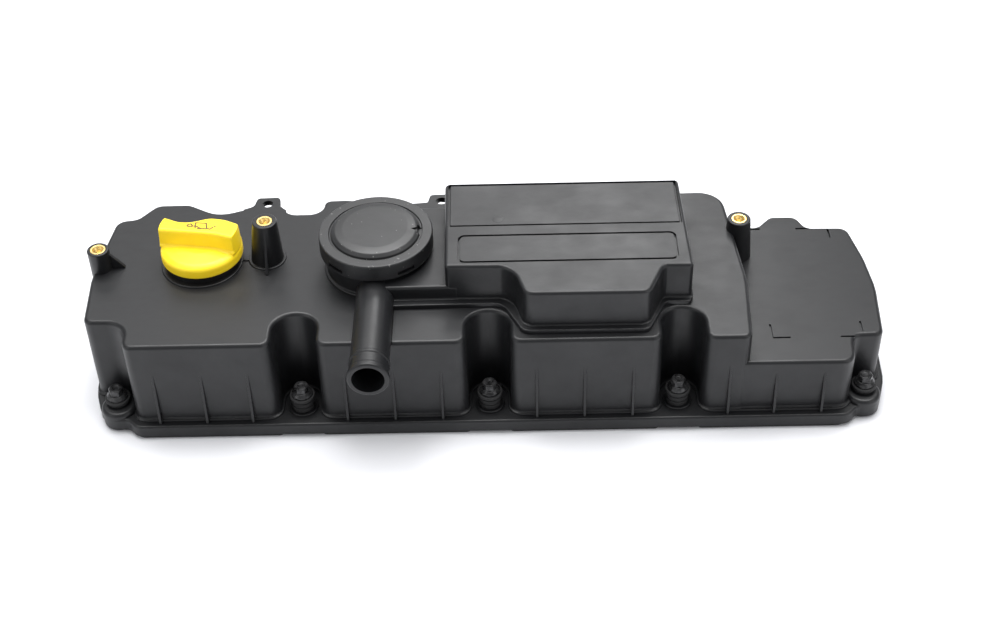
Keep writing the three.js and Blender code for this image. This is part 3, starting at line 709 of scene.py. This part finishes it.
def separator():
    steps = []

    def add(ob):
        steps.append(("+", ob))

    def cut(ob):
        steps.append(("-", ob))

    base = prism(LEDGE, [(0, TOP)] + rim(LEDGE_TOP, 0.6))
    add(prism(BOX, foot(LEDGE_TOP, 1.0) + rim(BOX_TOP, 1.9)))
    add(prism(BUMP, foot(LEDGE_TOP, 0.8) + rim(BOX_TOP, 1.9)))
    add(prism(PLATEAU, foot(LEDGE_TOP, 1.0) + rim(70, 1.6)))
    for outline in (BOX, BUMP):
        cut(prism(outline, [(-BOX_WALL, TOP - 1), (-BOX_WALL, BOX_TOP - BOX_WALL)]))
    cut(drum(REG_X, REG_Y, TOP - 1, 90, 24.5, sides=96))
    floor = CHAMBER_FLOOR
    add(lathe(REG_X, REG_Y, [
        (0, floor - 2.5, 0), (HOUSING_R, floor - 2.5, 0), (HOUSING_R, TOP - 0.5, 0),
        (28.6, TOP - 0.5, 0), (28.6, TOP + 1.0, 0.6), (HOUSING_R, TOP + 1.6, 0.6),
        (HOUSING_R, HOUSING_TOP, 0.5),
        (24.5, HOUSING_TOP, 0.3), (24.5, floor, 1), (0, floor, 0),
    ]))
    add(drum(REG_X, REG_Y, floor - 1, 73.2, 10.4, top=0.6))
    add(drum(REG_X, REG_Y, 70.6, 72.2, 14.6))
    add(stub_outside())
    for k in range(4):
        catch = block(-4.5, 4.5, -HOUSING_R - 1.6, -HOUSING_R + 0.8, 74.3, 76.1, 0.3)
        add(round_regulator(catch, k))
    cut(drum(REG_X, REG_Y, floor + 0.5, 90, STUB_BORE))
    cut(rod(REG_X, STUB_Z, STUB_END - 1, REG_Y, STUB_BORE))
    cut(block(-40, -17, 45, 75, 62.5, 67.5))
    # recess of the label with a deeper groove round it, and the groove that frames the panel
    cut(prism(LABEL_SEAT, [(0, LABEL_SINK), (0, 90)]))
    label_core = prism(LABEL, [(-0.1, 80), (-0.1, 91)])
    cut(combine(prism(LABEL_SEAT, [(0, 81.6), (0, 83)]), [("-", label_core)], "part"))
    panel_core = prism(PANEL, [(-0.65, 80), (-0.65, 91)])
    cut(combine(prism(PANEL, [(0.65, 82.1), (0.65, 90)]), [("-", panel_core)], "part"))
    return combine(base, steps, "separator_body")


finish_piece(separator(), "cover", PLASTIC, ["separator_cover"])


def label_plate():
    plate_body = prism(LABEL, [(0, LABEL_SINK)] + rim(LABEL_TOP, 0.3, 0, 3))
    # small round gate mark on its front edge
    return combine(plate_body, [("+", drum(6, 66, 82.8, 83.5, 3.0, top=0.15))], "label_panel")


finish_piece(label_plate(), "cover", PLASTIC, ["label_plate"])


# ---- regulator cover ---------------------------------------------------------------------------
def regulator_cap():
    ob = lathe(REG_X, REG_Y, [
        (0, 82.2, 0), (21.4, 82.0, 0), (23.4, 80.2, 0), (27.9, 80.2, 0), (27.9, 72.6, 0),
        (30, 72.6, 0.4), (30, 82.0, 0.9), (24.7, 82.0, 0.3), (24.3, 81.3, 0.2),
        (23.6, 81.4, 0.2), (23.3, 82.6, 0.5),
        (21.4, 84.1, 2.5), (17.2, 84.8, 8), (0, 84.9, 0),
    ], 144, math.radians(10))
    steps = []
    for k in range(4):
        steps.append(("-", round_regulator(block(-5, 5, -31, -26.6, 74.0, 76.6, 0.3), k)))
        steps.append(("+", round_regulator(block(-4.2, 4.2, -29.7, -28.6, 76.0, 76.9, 0.2), k)))
    # breather notch at the right of the disc, with a small pointer cut beside it
    steps.append(("-", block(REG_X + 21.9, REG_X + 24.5, REG_Y - 3.6, REG_Y + 2.6, 80.9, 86)))
    pointer = [(REG_X + 18.8, REG_Y - 1.6, 0.2), (REG_X + 22.6, REG_Y - 3.4, 0.2),
               (REG_X + 22.6, REG_Y + 0.6, 0.2)]
    steps.append(("-", prism(pointer, [(0, 83.0), (0, 86)])))
    return combine(ob, steps, "regulator_lid")


finish_piece(regulator_cap(), "cover", CAP_PLASTIC, ["regulator_cover"])


# ---- filler cap --------------------------------------------------------------------------------
GRIP = [
    (-24, -1.1, 1), (8.9, -6, 8), (23, -10.9, 1), (24, 0.9, 1), (13.4, 6.5, 9), (5.5, 8.1, 9),
    (-4.8, 4.8, 9), (-10.9, 5.2, 9), (-23, 11.2, 1),
]


def filler_cap():
    body = lathe(NECK_X, NECK_Y, [
        (0, 67.4, 0), (12.8, 67.4, 0.3), (12.8, 52, 0.4), (15.2, 52, 0.4), (15.2, 65.6, 0.2),
        (20.1, 65.6, 0.2), (20.1, CAP_UNDER, 0.2), (CAP_R, CAP_UNDER, 0.7),
        (CAP_R, 70.2, 2.6),
        (18.8, 71.8, 2.5), (10, 72.7, 3), (0, 72.8, 0),
    ], 120, math.radians(10))
    grip = [(NECK_X + u, NECK_Y + v, r) for u, v, r in GRIP]
    handle = combine(
        prism(grip, foot(72.4, 0.9) + rim(HANDLE_TOP, 1.4)),
        [("&", drum(NECK_X, NECK_Y, 60, HANDLE_TOP + 0.2, CAP_R + 0.7, 20.9, sides=120))],
        "part")
    hollow = combine(
        prism(grip, [(-2.2, 66), (-2.2, HANDLE_TOP - 2.4)]),
        [("&", drum(NECK_X, NECK_Y, 66, 90, 12.8))], "part")
    steps = [("+", handle), ("-", hollow)]
    for turn in (0, math.pi):
        steps.append(("+", ridge(14.2, 16.2, 54, 2, turn, 0.9)))
    ob = combine(body, steps, "cap_body")
    for kind, values in (
        ("REMESH", {"mode": "VOXEL", "voxel_size": 0.42}),
        ("SMOOTH", {"factor": 0.5, "iterations": 5}),
    ):
        m = ob.modifiers.new("soft", kind)
        for key, value in values.items():
            setattr(m, key, value)
    return combine(ob, [], "cap_body")


finish_piece(
    filler_cap(), "cap", YELLOW, ["filler_cap"], sharp=180, weighted=False)

# plain oil-can sign on the handle: strokes as chains of points along and across the handle
SIGN = [
    [(-4.4, -0.4), (-5.6, 0.7), (-7.3, -0.6), (-6.4, -1.6), (-4.2, -1.2)],
    [(-2.2, -2.2), (-3.4, 2.0), (2.3, 2.6), (4.0, -1.6), (6.0, -1.9), (6.9, 0.1)],
    [(-4.3, -1.0), (-2.4, -0.6), (0.4, -1.9), (3.9, -2.1)],
    [(-0.9, -2.6), (1.0, -2.6)],
    [(7.7, 1.3), (7.8, 0.3)],
]
SIGN_LINE = 0.42  # half the width of a line
SIGN_PLACE = Matrix.Translation((NECK_X + 1.3, NECK_Y + 0.9, 0)) @ Matrix.Rotation(-0.2, 4, "Z")


def cap_sign():
    strokes = []
    for chain in SIGN:
        for (u0, v0), (u1, v1) in zip(chain, chain[1:]):
            half = math.hypot(u1 - u0, v1 - v0) / 2 + 0.15
            turn = Matrix.Rotation(math.atan2(v1 - v0, u1 - u0), 4, "Z")
            middle = Matrix.Translation(((u0 + u1) / 2, (v0 + v1) / 2, 0))
            stroke = block(
                -half, half, -SIGN_LINE, SIGN_LINE, HANDLE_TOP - 0.5, HANDLE_TOP + 0.07)
            strokes.append(moved(stroke, SIGN_PLACE @ middle @ turn))
    return combine(strokes[0], [("+", ob) for ob in strokes[1:]], "cap_sign_lines")


finish_piece(cap_sign(), "cap", SIGN_PAINT, [])


def cap_seal():
    return lathe(NECK_X, NECK_Y, [
        (15.6, NECK_TOP, 0.3), (19.4, NECK_TOP, 0.4), (20.0, NECK_TOP + 1, 0.6), (19.4, 65.5, 0.4),
        (15.6, 65.5, 0.3),
    ], 96)


seal = combine(cap_seal(), [], "cap_seal_ring")
finish_piece(seal, "cap_lift", RUBBER, ["cap_seal"])


# ---- brass inserts -----------------------------------------------------------------------------
def insert(x, y, top, depth):
    z0 = top - depth + 2
    threads = []
    for k in range(5):
        threads += [(2.75, top - 0.9 - k, 0), (2.4, top - 1.4 - k, 0)]
    return lathe(x, y, [
        (2.4, z0, 0.1), (3.3, z0, 0.2), (3.3, top - 4.9, 0.1), (4.1, top - 4.2, 0.1),
        (4.1, top, 0.15), (3.05, top, 0.05), *threads,
    ], 64)


for tag, x, y, _, top, _, _, depth, _ in BOSSES:
    ob = combine(insert(x, y, top, depth), [], "thread_insert_" + tag)
    finish_piece(ob, "cover", BRASS, ["insert_" + tag])


# ---- captive bolts and grommets ----------------------------------------------------------------
def hexagon(x, y, z0, z1, r):
    """Hexagon head whose top corners are turned off by a cone."""
    turns = [math.radians(60 * k) for k in range(6)]
    corners = [(x + r * math.cos(t), y + r * math.sin(t), 0.25) for t in turns]
    head = prism(corners, [(0, z0), (0, z1)])
    cone = lathe(x, y, [
        (0, z0 - 1, 0), (r + 1, z0 - 1, 0), (r + 1, z1 - 1.6, 0), (r * 0.78, z1, 0.3),
        (0, z1, 0),
    ], 48)
    return combine(head, [("&", cone)], "hex")


def bolt(x, y, under):
    flange = lathe(x, y, [
        (0, 0.6, 0), (2.5, 0.6, 0.4), (2.5, under, 0), (5.5, under, 0.25), (5.5, under + 0.9, 0.35),
        (4.1, under + 2.3, 0.8), (0, under + 2.3, 0),
    ], 48)
    top = under + 5.9
    dish = lathe(x, y, [
        (0, top - 0.45, 0), (1.6, top - 0.4, 0.3), (2.2, top + 0.2, 0), (0, top + 0.2, 0),
    ], 32)
    return combine(flange, [("+", hexagon(x, y, under + 1.0, top, HEX_R)), ("-", dish)], "bolt")


def grommet(x, y, seat, tall):
    ring = seat + (TALL_GROMMET if tall else 0)
    tiers = []
    if tall:
        for z in (seat + 2.3, seat + 5.4):
            tiers += [(5.9, z, 0.4), (5.1, z + 0.3, 0.15), (5.1, z + 0.6, 0.15)]
            tiers.append((5.9, z + 0.9, 0.4))
    return lathe(x, y, [
        (4.4, 3, 0), (5.3, 3, 0.1), (5.3, seat, 0.05), (5.9, seat, 0.3), *tiers,
        (5.9, ring + 1.2, 0.2), (5.5, ring + 1.5, 0.2), (6.7, ring + 1.8, 0.5),
        (6.7, ring + 3.4, 0.6), (4.4, ring + 3.4, 0.1),
    ], 48)


for tag, x, y, _, seat, tall in BOLTS:
    ob = bolt(x, y, seat + UNDER_HEAD + (TALL_GROMMET if tall else 0))
    ob.name = "captive_bolt_" + tag
    finish_piece(ob, "cover", BOLT_STEEL, ["bolt_" + tag])
    ob = combine(grommet(x, y, seat, tall), [], "grommet_ring_" + tag)
    finish_piece(ob, "cover", RUBBER, ["bolt_grommet_" + tag])

# ---- inner parts keep their CAD shape ----------------------------------------------------------
for node, material in (
    ("oil_baffle", PLASTIC), ("regulator_plate", CAP_PLASTIC), ("regulator_diaphragm", RUBBER),
    ("regulator_spring", BRIGHT), *[("bolt_sleeve_" + b[0], BRIGHT) for b in BOLTS],
):
    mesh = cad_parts[node].data
    mesh.materials.clear()
    mesh.materials.append(material)


# ---- floor, light, camera ----------------------------------------------------------------------
def floor():
    bm = bmesh.new()
    bmesh.ops.create_grid(bm, x_segments=2, y_segments=2, size=6)
    ob = mesh_object(bm, "studio_floor")
    m = Nodes("floor_paint")
    m.bsdf.inputs["Base Color"].default_value = (0.86, 0.865, 0.89, 1)
    m.bsdf.inputs["Roughness"].default_value = 0.9
    m.bsdf.inputs["Specular IOR Level"].default_value = 0.1
    ob.data.materials.append(m.mat)


floor()

world = bpy.data.worlds.new("studio")
scene.world = world
world.use_nodes = True
world.node_tree.nodes["Background"].inputs["Color"].default_value = (0.97, 0.98, 1, 1)
world.node_tree.nodes["Background"].inputs["Strength"].default_value = 0.44


def area_light(name, place, target, size_x, size_y, power):
    data = bpy.data.lights.new(name, "AREA")
    data.shape = "RECTANGLE"
    data.size, data.size_y, data.energy = size_x, size_y, power
    ob = bpy.data.objects.new(name, data)
    ob.location = place
    ob.rotation_euler = (Vector(target) - Vector(place)).to_track_quat("-Z", "Y").to_euler()
    scene.collection.objects.link(ob)


area_light("top_softbox", (0, 0.38, 1.4), (0, 0.02, 0.03), 1.5, 0.9, 34)
area_light("back_softbox", (0.13, 0.88, 0.80), (0.05, 0.0, 0.06), 0.38, 0.4, 3.0)
area_light("far_left_softbox", (-0.45, 1.1, 0.75), (-0.15, 0.05, 0.06), 0.5, 0.35, 0.8)
area_light("left_softbox", (-1.2, -0.7, 0.75), (0, 0, 0.03), 0.8, 0.8, 3)
area_light("right_softbox", (1.2, -0.7, 0.75), (0, 0, 0.03), 0.8, 0.8, 3)

FOCAL_PX, IMAGE_W = 1542.63, 1000
PITCH, ROLL, YAW = 0.720742, 0.0278212, -0.0134175
CAMERA = Vector((14.3164, -575.3709, 583.5573))
flat = math.cos(PITCH)
forward = Vector((math.sin(YAW) * flat, math.cos(YAW) * flat, -math.sin(PITCH)))
level = Vector((math.cos(YAW), -math.sin(YAW), 0))
upright = level.cross(forward)
right = math.cos(ROLL) * level - math.sin(ROLL) * upright
up = math.sin(ROLL) * level + math.cos(ROLL) * upright
camera_data = bpy.data.cameras.new("camera")
camera_data.sensor_width = 36
camera_data.lens = FOCAL_PX * 36 / IMAGE_W
camera_data.clip_start, camera_data.clip_end = 0.01, 50
camera = bpy.data.objects.new("camera", camera_data)
scene.collection.objects.link(camera)
spot = (CAMERA + Vector((SHIFT_X, SHIFT_Y, 0))) * MM
camera.matrix_world = Matrix.Translation(spot) @ Matrix((right, up, -forward)).transposed().to_4x4()
scene.camera = camera
scene.view_settings.view_transform = "Standard"
scene.view_settings.look = "None"

bpy.context.view_layer.update()
